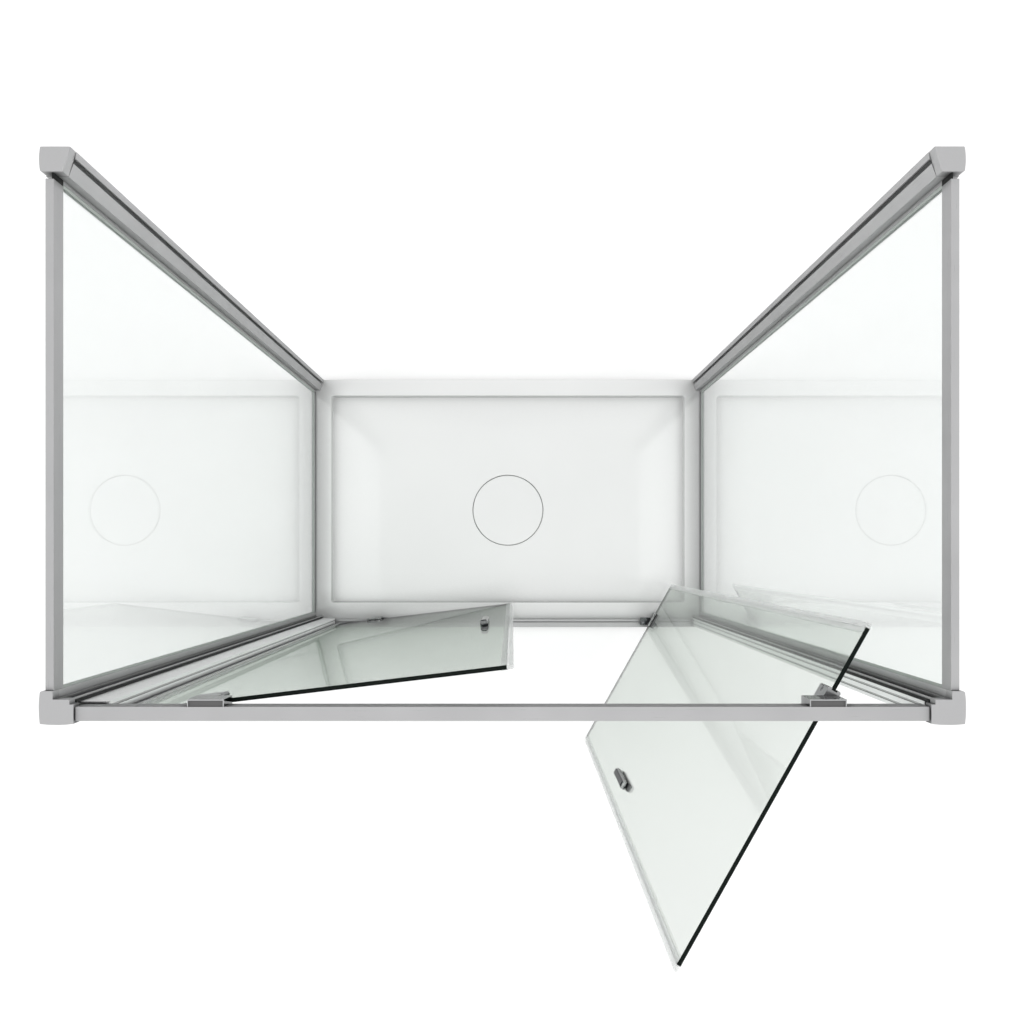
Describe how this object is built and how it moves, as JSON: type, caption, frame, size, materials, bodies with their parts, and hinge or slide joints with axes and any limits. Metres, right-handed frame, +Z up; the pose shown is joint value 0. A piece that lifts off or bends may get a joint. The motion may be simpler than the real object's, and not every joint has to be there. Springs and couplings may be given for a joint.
{
  "type": "three-sided shower enclosure",
  "caption": "Aluminium-framed shower enclosure, glass on three sides, with pivot saloon doors across the front, on a low white tray with a round waste cover; its back is open to a wall.",
  "frame": {"origin": "on the axis of the waste outlet, at the underside of the tray", "axes": "+Z up, +Y towards the wall the enclosure is fixed to, +X to the right as seen from outside the doors"},
  "size_m": [1.2, 1.0895, 1.895],
  "materials": {
    "frame_profiles": "satin polished",
    "corner_caps": "moulded, silver coloured",
    "polished_fittings": "polished",
    "cast_connectors": "as cast",
    "stainless_steel": "brushed",
    "side_glass": "clear, toughened",
    "door_glass": "clear, toughened, faint green",
    "clear_seal": "soft, translucent",
    "dark_rubber": "matt",
    "nylon": "moulded",
    "white_tray": "white gel coat, gloss"
  },
  "bodies": {
    "enclosure": {"tray": "white_tray", "waste_flange": "stainless_steel", "waste_strainer": "stainless_steel", "wall_profile_left": "frame_profiles", "wall_profile_right": "frame_profiles", "rear_stile_left": "frame_profiles", "rear_stile_right": "frame_profiles", "rear_cap_left": "corner_caps", "rear_cap_right": "corner_caps", "side_glass_left": "side_glass", "side_glass_right": "side_glass", "side_top_rail_left": "frame_profiles", "side_top_rail_right": "frame_profiles", "side_bottom_rail_left": "frame_profiles", "side_bottom_rail_right": "frame_profiles", "glazing_seals_left": "dark_rubber", "glazing_seals_right": "dark_rubber", "front_post_left": "frame_profiles", "front_post_right": "frame_profiles", "front_cap_left": "corner_caps", "front_cap_right": "corner_caps", "front_top_rail": "frame_profiles", "rail_connectors": "cast_connectors", "threshold": "frame_profiles", "jamb_left": "frame_profiles", "jamb_right": "frame_profiles", "top_bracket_left": "polished_fittings", "top_bracket_right": "polished_fittings", "bottom_bracket_left": "polished_fittings", "bottom_bracket_right": "polished_fittings", "pivot_pins": "stainless_steel", "bracket_screws": "stainless_steel", "frame_screws": "stainless_steel"},
    "left_door": {"left_door_glass": "door_glass", "left_meeting_seal": "clear_seal", "left_jamb_seal": "clear_seal", "left_top_clamp_outer": "polished_fittings", "left_top_clamp_inner": "polished_fittings", "left_bottom_clamp_outer": "polished_fittings", "left_bottom_clamp_inner": "polished_fittings", "left_glass_pads": "dark_rubber", "left_pivot_bushes": "nylon", "left_clamp_screws": "stainless_steel", "left_handle_outer": "polished_fittings", "left_handle_inner": "polished_fittings", "left_handle_studs": "stainless_steel"},
    "right_door": {"right_door_glass": "door_glass", "right_meeting_seal": "clear_seal", "right_jamb_seal": "clear_seal", "right_top_clamp_outer": "polished_fittings", "right_top_clamp_inner": "polished_fittings", "right_bottom_clamp_outer": "polished_fittings", "right_bottom_clamp_inner": "polished_fittings", "right_glass_pads": "dark_rubber", "right_pivot_bushes": "nylon", "right_clamp_screws": "stainless_steel", "right_handle_outer": "polished_fittings", "right_handle_inner": "polished_fittings", "right_handle_studs": "stainless_steel"},
    "waste_cover": {"waste_cover": "white_tray"}
  },
  "joints": [
    {"name": "left_door_swing", "type": "hinge", "parent": "enclosure", "child": "left_door", "pos_m": [-0.396, -0.332, 0.9], "axis": [0, 0, 1], "range_deg": [-96.8, 83.2]},
    {"name": "right_door_swing", "type": "hinge", "parent": "enclosure", "child": "right_door", "pos_m": [0.4335, -0.332, 0.9], "axis": [0, 0, 1], "range_deg": [-150.7, 29.3]},
    {"name": "waste_cover_lift", "type": "slide", "parent": "enclosure", "child": "waste_cover", "axis": [0, 0, 1], "range_m": [0, 0.06]}
  ]
}
